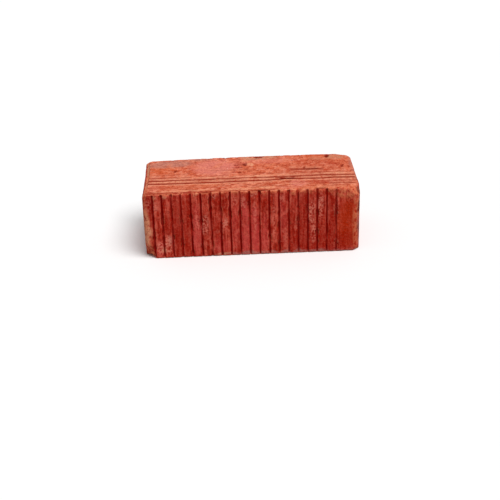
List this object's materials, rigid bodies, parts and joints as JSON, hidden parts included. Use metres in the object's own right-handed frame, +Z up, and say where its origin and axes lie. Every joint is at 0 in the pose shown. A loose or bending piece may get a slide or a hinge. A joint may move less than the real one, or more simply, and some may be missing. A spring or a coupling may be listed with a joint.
{
  "type": "clay brick",
  "caption": "Solid wire-cut building brick of fired clay, with upright keying grooves down both long faces and a plain band at one end.",
  "frame": {"origin": "centre of the bottom bed, at the surface that the brick lies on", "axes": "+X along the length towards the end with the plain band, +Y across the width towards the back long face, +Z up through the height"},
  "size_m": [0.23, 0.1, 0.075],
  "materials": {
    "fired_clay": "unglazed fired red clay, matt and porous"
  },
  "bodies": {
    "root": {"brick": "fired_clay"}
  },
  "joints": []
}
